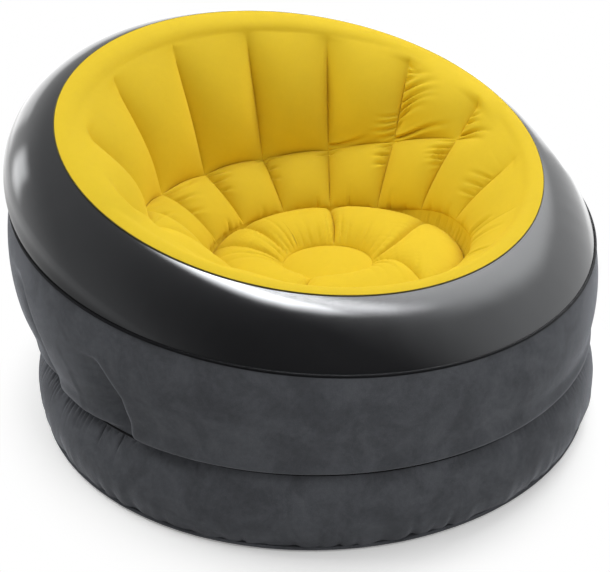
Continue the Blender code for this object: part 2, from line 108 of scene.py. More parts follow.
def leftOf(chord):
    return Vector((-chord.y, chord.x)).normalized()


def onArc(start, end, crown, share):
    chord = end - start
    radius = (chord.length_squared / 4 + crown ** 2) / (2 * crown)
    lean = math.asin(chord.length / (2 * radius)) * (2 * share - 1)
    standOff = radius * math.cos(lean) - radius + crown
    along = chord.normalized() * radius * math.sin(lean)
    return (start + end) / 2 + along + leftOf(chord) * standOff


def arc(start, end, crown, rows):
    return [onArc(start, end, crown, row / rows) for row in range(rows + 1)]


def smoothRows(points, first, last, passes, weight):
    # Evens out a stretch of a section, as the film's own stiffness does
    for _ in range(passes):
        before = [p.copy() for p in points]
        for row in range(max(first, 1), min(last, len(points) - 1)):
            target = (before[row - 1] + before[row + 1]) / 2
            points[row] = before[row].lerp(target, 0.5 * weight)


def pushRows(points, depths):
    # Moves each point of a section into the air chamber by its depth
    moved = []
    for row, point in enumerate(points):
        before = points[max(row - 1, 0)]
        after = points[min(row + 1, len(points) - 1)]
        moved.append(point - leftOf(after - before) * depths[row])
    return moved


# Wrinkles of a gathered weld: how they wander, how their length and depth vary, and their shape.
# The salts give each weld its own wrinkles.
gathers = {"wander": 0.9, "wanderOver": 2.6, "saltStep": 3.7, "noisePlane": 0.3,
           "shortest": 0.25, "spread": 1.15, "weakest": 0.25, "width": 0.19, "fade": 1.4}
salts = {"well": 3.0, "wellFine": 9.0, "discGroove": 5.0, "discEdge": 6.0, "discSeam": 7.3,
         "wall": 11.0, "base": 12.0, "foot": 13.0}


def pucker(away, along, salt, spacing, reach):
    # Depth, 0 to 1, of the wrinkles that a gathered weld leaves, at a distance away from it
    place = along / spacing
    spot = Vector((place / gathers["wanderOver"], salt * gathers["saltStep"], gathers["noisePlane"]))
    place += gathers["wander"] * noise.noise(spot)
    index = math.floor(place)
    share = place - index
    length = reach * (gathers["shortest"] + gathers["spread"] * scatter(index, salt))
    strength = gathers["weakest"] + (1 - gathers["weakest"]) * scatter(index, salt + 0.5)
    trough = math.exp(-((share - 0.5) / gathers["width"]) ** 2)
    return strength * trough * math.exp(-(away / length) ** gathers["fade"])


def twoWaves(spot, coarse, fine, share):
    return noise.noise(spot * coarse) + share * noise.noise(spot * fine)


def fluteColumns(perFlute, crowding):
    # Angles right round, closer together near the spokes
    angles = []
    for flute in range(seat["spokes"]):
        for step in range(perFlute):
            place = 2 * step / perFlute - 1
            crowded = math.copysign(1 - (1 - abs(place)) ** crowding, place)
            angles.append((flute + crowded / 2) * math.tau / seat["spokes"])
    return angles + [angles[0] + math.tau]


def evenColumns(count):
    return [math.tau * column / count for column in range(count + 1)]


def acrossFlute(angle):
    # The flute at an angle, and the place across it from -1 to 1, where a spoke is at both ends
    turned = angle * seat["spokes"] / math.tau
    flute = math.floor(turned + 0.5)
    return flute, 2 * (turned - flute)


def addPrimitive(operator, name, **sizes):
    bpy.ops.object.select_all(action="DESELECT")
    operator(**sizes)
    piece = bpy.context.object
    piece.name = name
    return piece


def finishShell(piece, thickness):
    # Closes the ring, gives the film its thickness on the air's side, and shades it
    bpy.ops.object.mode_set(mode="EDIT")
    bpy.ops.mesh.select_all(action="SELECT")
    bpy.ops.mesh.remove_doubles(threshold=film["merge"])
    bpy.ops.object.mode_set(mode="OBJECT")
    wall = piece.modifiers.new("Film", "SOLIDIFY")
    wall.thickness = thickness
    wall.offset = -1
    bpy.ops.object.modifier_apply(modifier=wall.name)
    bpy.ops.object.shade_smooth_by_angle(angle=film["smoothAngle"])


def sweptPanel(name, columns, sectionAt, thickness=film["thickness"]):
    # A grid laid out column by column, each on its own section
    lines = [sectionAt(angle) for angle in columns]
    rows = len(lines[0]) - 1
    piece = addPrimitive(bpy.ops.mesh.primitive_grid_add, name,
                         x_subdivisions=len(columns) - 1, y_subdivisions=rows, size=2)
    for vertex in piece.data.vertices:
        column = round((vertex.co.x + 1) / 2 * (len(columns) - 1))
        row = round((vertex.co.y + 1) / 2 * rows)
        place = lines[column][row]
        vertex.co = place if len(place) == 3 else inSpace(place, columns[column])
    finishShell(piece, thickness)
    return piece


# Seat cover: the back's flutes with the rim roll, and the pillows below the crease
seatCover = {
    "wellRadius": 0.258, "wellHeight": 0.298, "wellTuck": 0.008, "wellSink": 0.024,
    "wellEase": (math.radians(60.0), math.radians(100.0)),
    "rollWidth": 0.047, "rollCrown": 0.008, "rollLean": 0.60,
    "creaseDepth": 0.0655, "creaseBack": 0.74, "creaseFront": 0.22, "creasePower": 2.6, "creaseArch": 0.015,
    "creaseEnd": math.radians(96.0), "sinkEnd": math.radians(88.0), "endLift": 0.03, "evenLift": 0.002,
    "keepFade": 0.30, "frontEase": (1.95, 2.6), "frontFill": 0.92,
    "fluteCrown": 0.042, "fluteBase": 0.010, "fluteRound": (2.9, 0.70, 0.85),
    "sideCrown": 0.160, "sidePower": 0.8, "fullPower": 0.75, "pillowCrown": 0.21, "pillowTurn": 0.75,
    "valleyShare": 0.17, "plumpPower": 0.66, "pillowSquare": 2.7, "fluteSquare": 2.1,
    "closeLow": 0.011, "closeSoft": 0.013, "closeFrom": (-2.2, -1.7), "closeTo": (-0.35, 0.25),
    "liftReach": 0.09, "lift": 0.0015, "smoothSpan": 16, "smoothPasses": 30,
    "columns": 32, "crowding": 1.7, "pillowRows": 76, "fluteRows": 92, "rollRows": 8,
}


def creaseFade(angle, end="creaseEnd"):
    return max(0.0, 1 - (fromBack(angle) / seatCover[end]) ** seatCover["creasePower"])


def wellLine(angle):
    return seatPoint(seatCover["wellRadius"], seatCover["wellHeight"], angle)


def wellEdge(angle):
    # The weld round the well, which sits lower round the back, behind the disc
    rise = easeIn(fromBack(angle), *seatCover["wellEase"])
    radius = seatCover["wellRadius"] - seatCover["wellTuck"] * (1 - rise)
    return seatPoint(radius, seatCover["wellHeight"] - seatCover["wellSink"] * (1 - rise), angle)


def rollEdge(angle):
    rim = loopPoint("rim", angle)
    fall = rim - wellLine(angle)
    lean = math.atan2(fall.y, fall.x) * seatCover["rollLean"]
    return rim - seatCover["rollWidth"] * Vector((math.cos(lean), math.sin(lean)))


def creasePoint(angle):
    top, well = rollEdge(angle), wellLine(angle)
    fade, sinkFade = creaseFade(angle), creaseFade(angle, "sinkEnd")
    share = seatCover["creaseFront"] + (seatCover["creaseBack"] - seatCover["creaseFront"]) * fade
    lift = seatCover["endLift"] * (fade - sinkFade) + seatCover["evenLift"]
    sink = seatCover["creaseDepth"] * sinkFade ** 2 - lift
    return top + (well - top) * share + leftOf(well - top) * sink


def plump(place, square):
    # Cross section of a cushion between two welded valleys
    return max(0.0, 1 - abs(place) ** square) ** seatCover["plumpPower"]


def between(start, end, share):
    return start + (end - start) * share


def roundness(share):
    # Height of a full flute along its length
    gain, rise, fall = seatCover["fluteRound"]
    return gain * share ** rise * max(0.0, 1 - share) ** fall


def seatSection(angle):
    # One line from the edge of the well, over the pillow, the crease and the flute, to the rim.
    # It lies between the welded valley line and the full cushion.
    flute, place = acrossFlute(angle)
    well, crease = wellEdge(angle), creasePoint(angle)
    top, rim = rollEdge(angle), loopPoint("rim", angle)
    fade = creaseFade(angle)
    keep = easeIn(fade, 0.0, seatCover["keepFade"])
    pillowRows, fluteRows = seatCover["pillowRows"], seatCover["fluteRows"]
    rollRows = seatCover["rollRows"]
    crease = crease + (top - crease) * seatCover["creaseArch"] * fade * (1 - place ** 2)
    low = seatCover["valleyShare"]
    front = easeIn(fromBack(angle), *seatCover["frontEase"])

    pillowOut = leftOf(crease - well) * seatCover["pillowCrown"] * (crease - well).length
    sideOut = leftOf(top - well) * seatCover["sideCrown"] * (rim - well).length
    fullSide = leftOf(rim - well) * seatCover["sideCrown"] * (rim - well).length
    fluteLength, rollLength = (top - crease).length, (rim - top).length
    fluteOut = leftOf(rim - crease) * (seatCover["fluteCrown"] * math.sqrt(fade) + seatCover["fluteBase"])
    frontShare = 1 - seatCover["creaseFront"]
    frontTop = (top - well).length / ((top - well).length + rollLength)
    roll = arc(top, rim, seatCover["rollCrown"], rollRows)
    valleys, fulls, distances = [], [], []
    for row in range(pillowRows + fluteRows + rollRows + 1):
        # Where the back is creased, in its pillow, its flute and its roll
        if row <= pillowRows:
            share = (1 - math.cos(math.pi * row / pillowRows)) / 2
            swell = pillowOut * (4 * share * (1 - share)) ** 0.5
            creased = (between(well, crease, share) + swell * low, between(well, crease, share) + swell)
            turn = math.pi * seatCover["pillowTurn"]
            plain = frontShare * (1 - math.cos(turn * row / pillowRows)) / (1 - math.cos(turn))
        elif row <= pillowRows + fluteRows:
            even = (row - pillowRows) / fluteRows
            share = 0.5 * even + 0.5 * (1 - math.cos(math.pi / 2 * even))
            whole = share * fluteLength / (fluteLength + rollLength)
            full = between(crease, rim, whole) + fluteOut * roundness(whole)
            creased = (between(crease, top, share), full)
            plain = frontShare + (1 - frontShare) * even
        else:
            step = row - pillowRows - fluteRows
            whole = (fluteLength + rollLength * step / rollRows) / (fluteLength + rollLength)
            full = between(crease, rim, whole) + fluteOut * roundness(whole)
            creased = (roll[step], full)
            plain = 1 + step / rollRows
        # Where it is not, one smooth swell from the well to the rim
        if plain <= 1:
            swell = sideOut * 2 * low * plain ** 0.5 * (1 - plain) ** seatCover["sidePower"]
            line = between(well, top, plain) + swell
            whole = plain * frontTop
        else:
            line = roll[row - pillowRows - fluteRows]
            whole = frontTop + (1 - frontTop) * (plain - 1)
        swell = fullSide * 2 * whole ** 0.5 * (1 - whole) ** seatCover["fullPower"]
        swollen = between(well, rim, whole) + swell
        valleys.append(line.lerp(creased[0], keep))
        fulls.append(swollen.lerp(creased[1], keep))
        distances.append((rim - valleys[-1]).length)

    # The valleys end under the roll, a little lower on the left of the back
    turned = (angle + math.pi) % math.tau - math.pi
    left = easeIn(turned, *seatCover["closeFrom"]) * (1 - easeIn(turned, *seatCover["closeTo"]))
    end = seatCover["rollWidth"] + seatCover["closeLow"] * left
    soft = seatCover["closeSoft"]
    points = []
    for row, (valley, full) in enumerate(zip(valleys, fulls)):
        square = seatCover["pillowSquare" if row < pillowRows else "fluteSquare"]
        weight = plump(place, square)
        weight += (1 - weight) * front * seatCover["frontFill"]
        if row > pillowRows:
            weight += (1 - weight) * (1 - easeIn(distances[row], end - soft, end + soft))
        point = valley.lerp(full, weight)
        if row > pillowRows and distances[row] < seatCover["liftReach"]:
            outward = leftOf(rim - crease)
            point += outward * max(0.0, (valley - point).dot(outward) + seatCover["lift"])
        points.append(point)
    if keep < 1:
        weight = (1 - keep) * (1 - 0.5 * abs(place) ** 8)
        reach = seatCover["smoothSpan"]
        smoothRows(points, pillowRows - reach, pillowRows + reach, seatCover["smoothPasses"], weight)
    return pushRows(points, seatWrinkles(flute, place, points))


# Wrinkles of the seat cover. Distances are in metres and angles in degrees.
wrinkles = {
    # Each fold leaves a valley: start, middle and end, as degrees and run from the well, and depth
    "folds": [
        # The fan on the right of the spoke at 60 degrees, and the fine gathers on its left
        ((60.3, 0.338), (62.0, 0.340), (63.5, 0.345), 0.0030),
        ((60.3, 0.322), (62.5, 0.334), (66.0, 0.350), 0.0045),
        ((60.3, 0.302), (62.0, 0.318), (64.5, 0.336), 0.0050),
        ((60.3, 0.278), (64.0, 0.309), (70.0, 0.338), 0.0075),
        ((60.3, 0.252), (64.5, 0.287), (71.5, 0.314), 0.0075),
        ((60.3, 0.231), (64.5, 0.270), (72.0, 0.297), 0.0070),
        ((60.3, 0.212), (63.5, 0.246), (69.5, 0.274), 0.0060),
        ((60.3, 0.192), (61.8, 0.212), (63.5, 0.234), 0.0050),
        ((60.3, 0.172), (66.5, 0.206), (79.0, 0.224), 0.0090),
        ((59.7, 0.224), (56.0, 0.234), (52.5, 0.243), 0.0035),
        ((59.7, 0.212), (56.0, 0.221), (52.0, 0.230), 0.0045),
        ((59.7, 0.196), (56.0, 0.205), (51.5, 0.212), 0.0050),
        ((59.7, 0.180), (56.5, 0.187), (53.5, 0.192), 0.0045),
        # Second line above the crease on its left, and the short gathers on the right of the next spoke
        ((36.3, 0.160), (42.0, 0.180), (50.0, 0.199), 0.0065),
        ((84.3, 0.230), (85.5, 0.240), (87.5, 0.250), 0.0050),
        ((84.3, 0.211), (86.0, 0.223), (88.5, 0.233), 0.0060),
        ((84.3, 0.182), (88.0, 0.203), (93.5, 0.215), 0.0070),
        # Right edges of the pillows
        ((83.7, 0.167), (80.5, 0.170), (77.0, 0.171), 0.0040),
        ((83.7, 0.148), (80.5, 0.148), (76.0, 0.147), 0.0060),
        ((83.7, 0.132), (81.0, 0.133), (76.5, 0.133), 0.0060),
        ((83.7, 0.119), (81.0, 0.121), (77.0, 0.122), 0.0050),
        ((83.7, 0.104), (82.5, 0.104), (80.5, 0.104), 0.0035),
        ((59.7, 0.152), (57.0, 0.150), (54.0, 0.148), 0.0065),
        ((59.7, 0.127), (57.0, 0.126), (53.5, 0.125), 0.0065),
        ((59.7, 0.105), (57.5, 0.104), (54.5, 0.102), 0.0055),
        ((35.7, 0.134), (33.5, 0.133), (30.5, 0.132), 0.0055),
        ((11.7, 0.140), (9.5, 0.141), (7.5, 0.142), 0.0035),
        # Left edges of the pillows, where the first fold is almost a second crease
        ((36.3, 0.130), (38.0, 0.136), (40.5, 0.146), 0.0060),
        ((12.3, 0.130), (15.5, 0.144), (21.5, 0.158), 0.0070),
        ((12.3, 0.111), (13.8, 0.112), (16.0, 0.113), 0.0060),
        ((12.3, 0.086), (13.5, 0.085), (15.0, 0.083), 0.0050),
        ((-11.7, 0.136), (-8.5, 0.136), (-4.5, 0.136), 0.0070),
        ((-11.7, 0.115), (-8.5, 0.116), (-5.0, 0.116), 0.0065),
        ((-11.7, 0.089), (-10.0, 0.088), (-7.5, 0.086), 0.0055),
        ((-35.7, 0.140), (-30.0, 0.141), (-20.5, 0.145), 0.0085),
        ((-35.7, 0.117), (-31.0, 0.114), (-25.5, 0.108), 0.0070),
        ((-35.7, 0.080), (-33.0, 0.077), (-29.5, 0.073), 0.0045),
        ((-59.7, 0.166), (-56.0, 0.160), (-51.5, 0.146), 0.0055),
        ((-59.7, 0.134), (-56.5, 0.128), (-51.5, 0.113), 0.0045),
        ((-83.7, 0.190), (-77.0, 0.175), (-70.0, 0.165), 0.0045),
        ((107.7, 0.112), (104.0, 0.110), (99.5, 0.106), 0.0040),
        ((107.7, 0.088), (104.5, 0.086), (100.5, 0.082), 0.0045),
        ((107.7, 0.064), (105.0, 0.062), (101.5, 0.060), 0.0035),
    ],
    "foldWidth": 0.0031, "foldTaper": (0.8, 0.9), "foldGain": 1.25, "foldSpan": (-0.1, 1.25),
    "foldFade": (0.1, 1.2), "lipHeights": (0.42, 0.25), "lipPlace": 2.1, "lipWidth": 1.5,
    "valleyClear": 0.006,
    # Sharp tucks up from the well's weld: degrees, length, depth, and where they start if off the weld
    "ticks": [
        (46.0, 0.058, 0.0075), (67.0, 0.054, 0.0065), (29.5, 0.030, 0.0060), (0.5, 0.030, 0.0060),
        (-23.0, 0.034, 0.0075), (-14.5, 0.018, 0.0050), (-28.5, 0.012, 0.0040), (-39.5, 0.040, 0.0075),
        (-47.0, 0.020, 0.0050), (-55.0, 0.034, 0.0050), (-70.0, 0.040, 0.0050), (-92.0, 0.030, 0.0045),
        (7.5, 0.010, 0.0040), (18.5, 0.012, 0.0040), (38.5, 0.014, 0.0045), (55.5, 0.012, 0.0040),
        (75.5, 0.018, 0.0050), (90.0, 0.028, 0.0050), (96.5, 0.018, 0.0045), (102.0, 0.032, 0.0050),
        (117.0, 0.026, 0.0045), (129.0, 0.060, 0.0070, 0.006), (140.0, 0.074, 0.0070, 0.010),
        (156.0, 0.064, 0.0065, 0.006), (172.0, 0.030, 0.0045), (189.0, 0.046, 0.0050),
        (204.0, 0.036, 0.0050), (221.0, 0.050, 0.0055), (238.0, 0.030, 0.0045), (252.0, 0.040, 0.0050),
    ],
    "tickWidth": 0.0032, "tickNear": 5.0, "tickTaper": 0.6, "tickStart": 0.005, "tickPower": 1.5,
    "tickLip": (0.3, 2.6, 1.6),
}


def foldDepth(fold, degrees, run, radius):
    # A trough that fades away from its valley, with a puffed lip on either side
    (first, low), (middle, halfway), (last, high), depth = fold
    share = (degrees - first) / (last - first)
    if not wrinkles["foldSpan"][0] < share < wrinkles["foldSpan"][1]:
        return 0.0
    line = min(1.0, max(0.0, share))
    turn = (middle - first) / (last - first)
    bow = halfway - low - (high - low) * turn
    height = low + (high - low) * line + bow * line * (1 - line) / (turn * (1 - turn))
    slope = (high - low) / (math.radians(abs(last - first)) * radius)
    narrow, widening = wrinkles["foldTaper"]
    width = wrinkles["foldWidth"] * (narrow + widening * line)
    gap = (run - height) / math.sqrt(1 + slope ** 2) / width
    trough = math.exp(-gap ** 2)
    for side, lip in zip((-1, 1), wrinkles["lipHeights"]):
        trough -= lip * math.exp(-((gap - side * wrinkles["lipPlace"]) / wrinkles["lipWidth"]) ** 2)
    return wrinkles["foldGain"] * depth * trough * (1 - easeIn(share, *wrinkles["foldFade"]))


def seatWrinkles(flute, place, points):
    fluteAngle = 360 / seat["spokes"]
    flute = (flute + 7) % seat["spokes"] - 7
    degrees = (flute + place / 2) * fluteAngle
    middle = flute * fluteAngle
    folds = [fold for fold in wrinkles["folds"] if abs(fold[1][0] - middle) < fluteAngle / 2]
    lip, lipPlace, lipWidth = wrinkles["tickLip"]
    ticks = []
    for spot, length, depth, *start in wrinkles["ticks"]:
        gap = abs((degrees - spot + 180) % 360 - 180)
        if gap < wrinkles["tickNear"]:
            ticks.append((gap, sum(start), length, depth))
    depths = []
    run = 0.0
    for row, point in enumerate(points):
        if row:
            run += (point - points[row - 1]).length
        toValley = (1 - abs(place)) * math.radians(fluteAngle / 2) * point.x
        near = min(1.0, toValley / wrinkles["valleyClear"])
        depth = 0.0
        for fold in folds:
            depth += foldDepth(fold, degrees, run, point.x) * near
        for gap, start, length, deepest in ticks:
            if run < start + length:
                side = math.radians(gap) * point.x / wrinkles["tickWidth"]
                taper = (1 - max(0.0, run - start) / length) ** wrinkles["tickTaper"]
                shape = taper * min(1.0, run / (start + wrinkles["tickStart"]))
                trough = math.exp(-side ** wrinkles["tickPower"])
                depth += deepest * shape * (trough - lip * math.exp(-((side - lipPlace) / lipWidth) ** 2))
        depths.append(depth)
    return depths


print("Seat cover")
coverColumns = fluteColumns(seatCover["columns"], seatCover["crowding"])
sections = {angle: seatSection(angle) for angle in coverColumns}
creaseRow = seatCover["pillowRows"]
seatBolster = sweptPanel("seatBolster", coverColumns,
                         lambda angle: sections[angle][:creaseRow + 1])
seatBack = sweptPanel("seatBack", coverColumns, lambda angle: sections[angle][creaseRow:])


# Well wall: the gathered strip between the bolster and the tufted disc
wellWall = {"radius": 0.2463, "height": 0.262, "rows": 10, "columns": 900, "pleat": 0.0034,
            "fold": (0.017, 1.0), "fineFold": (0.0068, 1.0), "fineShare": 0.4,
            "swellStart": 0.12, "swellPower": 0.6}


def wellSection(angle):
    top = wellEdge(angle)
    bottom = seatPoint(wellWall["radius"], wellWall["height"], angle)
    along = angle * wellWall["radius"]
    points = []
    for row in range(wellWall["rows"] + 1):
        share = row / wellWall["rows"]
        point = bottom.lerp(top, share)
        fold = pucker(0.0, along, salts["well"], *wellWall["fold"])
        fine = pucker(0.0, along, salts["wellFine"], *wellWall["fineFold"])
        swell = math.sin(math.pi * min(1.0, share + wellWall["swellStart"])) ** wellWall["swellPower"]
        point.x += wellWall["pleat"] * (fold + wellWall["fineShare"] * fine) * swell
        points.append(point)
    return points


# Seat disc: a fat ring of lobes round a smooth domed middle
seatDisc = {
    "edge": 0.2468, "edgeHeight": 0.262, "groove": 0.087, "grooveHeight": 0.250,
    "offCentre": (-0.0105, 0.012), "crown": 0.040, "square": 2.1, "plumpPower": 0.66,
    "dome": 0.014, "domePower": 2.2, "turnPower": 1.6,
    "seamDepth": 0.50, "seamWidth": 0.011, "seamPower": 0.8,
    "rows": 64, "domeRows": 14, "columns": 600,
    # Wrinkles: depth, then the spacing and reach of those from the groove, the edge and the seams
    "wrinkle": 0.0075, "grooveFold": (0.0150, 0.060), "edgeFold": (0.0150, 0.02), "edgeShare": 0.45,
    "seamFold": (0.011, 0.030), "seamShare": 0.5, "seamLean": 0.6,
}
# Radial seams in degrees: at the outer edge, and at the middle that they curve to
lobeSeams = [(-126.0, -124.0), (-43.0, -52.0), (-16.0, -25.0), (36.0, 47.0), (91.0, 128.5), (175.0, 133.5)]


def lobeAt(outer):
    # The shift of a line at its inner end, and how far it is from the nearest seam, in degrees
    seams = lobeSeams + [(lobeSeams[0][0] + 360, lobeSeams[0][1] + 360)]
    degrees = (math.degrees(outer) - seams[0][0]) % 360 + seams[0][0]
    for index in range(len(seams) - 1):
        low, high = seams[index], seams[index + 1]
        if low[0] <= degrees <= high[0]:
            share = (degrees - low[0]) / (high[0] - low[0])
            shift = (low[1] - low[0]) * (1 - share) + (high[1] - high[0]) * share
            inner = low[1] + (high[1] - low[1]) * share
            outerGap = min(degrees - low[0], high[0] - degrees)
            return index, shift, outerGap, min(inner - low[1], high[1] - inner)
    return 0, 0.0, 0.0, 0.0


def discSection(outer):
    lobe, shift, outerGap, innerGap = lobeAt(outer)
    points = []
    for row in range(seatDisc["domeRows"]):
        share = row / seatDisc["domeRows"]
        angle = outer + math.radians(shift)
        height = seatDisc["grooveHeight"] + seatDisc["dome"] * (1 - share ** seatDisc["domePower"])
        spot = inSpace(seatPoint(seatDisc["groove"] * share, height, angle), angle)
        points.append(spot + Vector((*seatDisc["offCentre"], 0.0)))
    width = seatDisc["edge"] - seatDisc["groove"]
    for row in range(seatDisc["rows"] + 1):
        share = (1 - math.cos(math.pi * row / seatDisc["rows"])) / 2
        angle = outer + math.radians(shift) * (1 - share) ** seatDisc["turnPower"]
        radius = seatDisc["groove"] + width * share
        gap = math.radians(outerGap * share + innerGap * (1 - share)) * radius
        dip = math.exp(-(gap / seatDisc["seamWidth"]) ** seatDisc["seamPower"])
        full = (1 - abs(2 * share - 1) ** seatDisc["square"]) ** seatDisc["plumpPower"]
        crown = seatDisc["crown"] * (1 - seatDisc["seamDepth"] * dip) * full
        base = between(seatDisc["grooveHeight"], seatDisc["edgeHeight"], share)
        innerRun, edgeRun = (math.radians(shift) + outer) * seatDisc["groove"], outer * seatDisc["edge"]
        fold = pucker(width * share, innerRun, salts["discGroove"], *seatDisc["grooveFold"])
        fold += seatDisc["edgeShare"] * pucker(
            width * (1 - share), edgeRun, salts["discEdge"], *seatDisc["edgeFold"])
        fold += seatDisc["seamShare"] * pucker(
            gap, radius + seatDisc["seamLean"] * gap, salts["discSeam"] + lobe, *seatDisc["seamFold"])
        sink = seatDisc["wrinkle"] * fold * min(1.0, full * 2)
        spot = inSpace(seatPoint(radius, base + crown - sink, angle), angle)
        points.append(spot + Vector((*seatDisc["offCentre"], 0.0)) * (1 - share))
    return points


print("Seat well and disc")
seatWell = sweptPanel("seatWellWall", evenColumns(wellWall["columns"]), wellSection)
seatMiddle = sweptPanel("seatDisc", evenColumns(seatDisc["columns"]), discSection)


# Outside: glossy band, side wall and base ring, each a panel between two seams
outside = {
    "seam": 0.0023,
    "bandCrown": (0.058, 0.012, 1.6), "bandRows": 28, "bandColumns": 480,
    "bandWander": 0.0005, "bandNoise": (9.0, 21.0, 0.5),
    "wallCrown": (0.035, 0.012, 1.0), "wallRows": 54, "wallColumns": 48, "wallCrowding": 1.5,
    "wallSag": (0.009, 0.09, 0.08), "sagStart": 25, "wallRun": 0.30, "wallTuck": (0.0120, 0.010),
    "wallTuckDepth": 0.00475, "wallTuckStart": 20,
    "pinchDepth": 0.058, "pinchTop": (0.82, 0.70), "pinchPower": 0.70, "pinchFade": 1.1,
    "pinchSteep": 0.0045, "pinchBroad": 0.036, "pinchLow": 1.6, "pinchLast": math.radians(110.0),
    # How far back the creases slip off their spokes, from and to which angle off the back
    "slip": (math.radians(1.8), 0.02, 0.19), "turn": (math.radians(3.9), 1.36, 1.86),
    "lean": (math.radians(15.0), 0.5, 1.3), "leanFrom": 0.45, "slipEnd": (2.27, 3.05),
    "baseCrown": 0.018, "baseRows": 22, "baseColumns": 1440, "tuckFade": (0.85, 1.75, 2.25),
    "baseTuck": (0.0120, 0.017), "baseTuckDepth": 0.0095, "baseTuckStart": 0.003,
    "footRun": 0.125, "footTuck": (0.045, 0.028), "footTuckDepth": 0.0034,
    "footWave": 0.0030, "footNoise": (9.0, 23.0, 0.7), "footEase": (0.05, 0.115),
    "floorContact": 0.92, "floorColumns": 240,
    "floorSteps": ((0, 0.25, 0.5, 0.75), (0.99, 0.75, 0.5, 0.25, 0.0)),
}


def fullness(back, front, power, angle):
    # Crown of a panel that stands out more at the back of the chair than at its front
    return front + (back - front) * ((1 + math.cos(angle)) / 2) ** power


def panelBetween(upper, lower, crown, rows, angle):
    start, end = loopPoint(upper, angle), loopPoint(lower, angle)
    reach = outside["seam"] * 0.5
    return arc(towardPoint(start, end, reach), towardPoint(end, start, reach), crown, rows)


def runAlong(name, angle):
    # Rough distance round a seam
    return angle * loops[name]["halfWidth"]


def bandSection(angle):
    crown = fullness(*outside["bandCrown"], angle)
    points = panelBetween("rim", "shoulder", crown, outside["bandRows"], angle)
    depths = []
    for row, point in enumerate(points):
        share = row / outside["bandRows"]
        wander = twoWaves(inSpace(point, angle), *outside["bandNoise"])
        depths.append(outside["bandWander"] * wander * math.sin(math.pi * share))
    return pushRows(points, depths)


def easedSize(name, angle):
    # A size that grows from nothing between two angles off the back
    size, low, high = outside[name]
    return size * easeIn(fromBack(angle), low, high)


def tuckAmount(angle):
    # The gathers at the waist are strong round the sides and the back and faint in front
    return 1 - easedSize("tuckFade", angle)


def wallTurn(angle, share):
    # How far back of its spoke the film's crease has slipped, more toward its top
    turn = easedSize("slip", angle) + easedSize("turn", angle)
    turn += easedSize("lean", angle) * max(0.0, share - outside["leanFrom"])
    return math.copysign(turn * (1 - easeIn(fromBack(angle), *outside["slipEnd"])), math.sin(angle))


# The valve's flange lies on a flat patch of the wall, over a hole
valveSeat = {"face": 0.565941, "height": 0.221699, "film": 0.5646, "patch": 0.030, "blend": 0.032,
             "hole": 0.0205, "drillLength": 0.05, "steps": 48, "ringSteps": (64, 10)}


def overValve(point):
    away = math.hypot(point.x, point.z - valveSeat["height"])
    if point.y > 0 and away < valveSeat["patch"] + valveSeat["blend"]:
        flat = 1 - easeIn(away, valveSeat["patch"], valveSeat["patch"] + valveSeat["blend"])
        point.y += (valveSeat["film"] - point.y) * flat
    return point


def wallSection(spokeSide):
    # Each column leans along with the creases
    rows = outside["wallRows"]
    flute, place = acrossFlute(spokeSide)
    spokeAngle = fromBack((flute + (0.5 if place > 0 else -0.5)) * math.tau / seat["spokes"])
    forward = (place < 0) == (math.sin(spokeSide) > 0)
    width = outside["pinchSteep" if forward else "pinchBroad"]
    top = outside["pinchTop"][0 if spokeAngle < outside["pinchLow"] else 1]
    sag, sagPlace, sagWidth = outside["wallSag"]
    points = []
    for row in range(rows + 1):
        share = 1 - row / rows
        angle = spokeSide - wallTurn(spokeSide, share)
        crown = fullness(*outside["wallCrown"], angle)
        start, end = loopPoint("shoulder", angle), loopPoint("waist", angle)
        reach = outside["seam"] * 0.5
        first, last = towardPoint(start, end, reach), towardPoint(end, start, reach)
        steps = (max(row - 1, 0), row, min(row + 1, rows))
        before, point, after = (onArc(first, last, crown, step / rows) for step in steps)
        depth = 0.0
        if spokeAngle < outside["pinchLast"] and share < top:
            away = (1 - abs(place)) * math.pi / seat["spokes"] * point.x
            swell = math.sin(math.pi * (share / top) ** outside["pinchPower"])
            depth = outside["pinchDepth"] * swell * math.exp(-(away / width) ** outside["pinchFade"])
        run = share * outside["wallRun"]
        tuck = pucker(run, runAlong("waist", angle), salts["wall"], *outside["wallTuck"])
        tuck *= tuckAmount(angle) * min(1.0, share * outside["wallTuckStart"])
        sagShape = math.exp(-((share - sagPlace) / sagWidth) ** 2)
        depth -= sag * sagShape * min(1.0, share * outside["sagStart"])
        depth += outside["wallTuckDepth"] * tuck
        points.append(overValve(inSpace(point - leftOf(after - before) * depth, angle)))
    return points


def baseSection(angle):
    # Rows lie twice as close near the waist, where the tucks are
    rows = outside["baseRows"]
    points = panelBetween("waist", "foot", outside["baseCrown"], rows * 2, angle)
    points = points[:rows // 2 * 2 + 1] + points[rows // 2 * 2 + 2::2]
    spot = Vector((math.sin(angle), math.cos(angle), 0.0))
    wave = twoWaves(spot, *outside["footNoise"]) * outside["footWave"]
    depths = []
    run = 0.0
    for row, point in enumerate(points):
        if row:
            run += (point - points[row - 1]).length
        toFoot = max(0.0, outside["footRun"] - run)
        tuck = pucker(run, runAlong("waist", angle), salts["base"], *outside["baseTuck"])
        hem = pucker(toFoot, runAlong("foot", angle), salts["foot"], *outside["footTuck"])
        tuck *= tuckAmount(angle) * min(1.0, run / outside["baseTuckStart"])
        depth = outside["baseTuckDepth"] * tuck + outside["footTuckDepth"] * hem
        depths.append(depth + wave * easeIn(run, *outside["footEase"]))
    return pushRows(points, depths)


def floorSection(angle):
    foot = loopPoint("foot", angle)
    contact = Vector((foot.x * outside["floorContact"], 0.0))
    lip = towardPoint(foot, contact, outside["seam"] * 0.5)
    sloped, flat = outside["floorSteps"]
    return [between(lip, contact, share) for share in sloped] + [contact * share for share in flat]


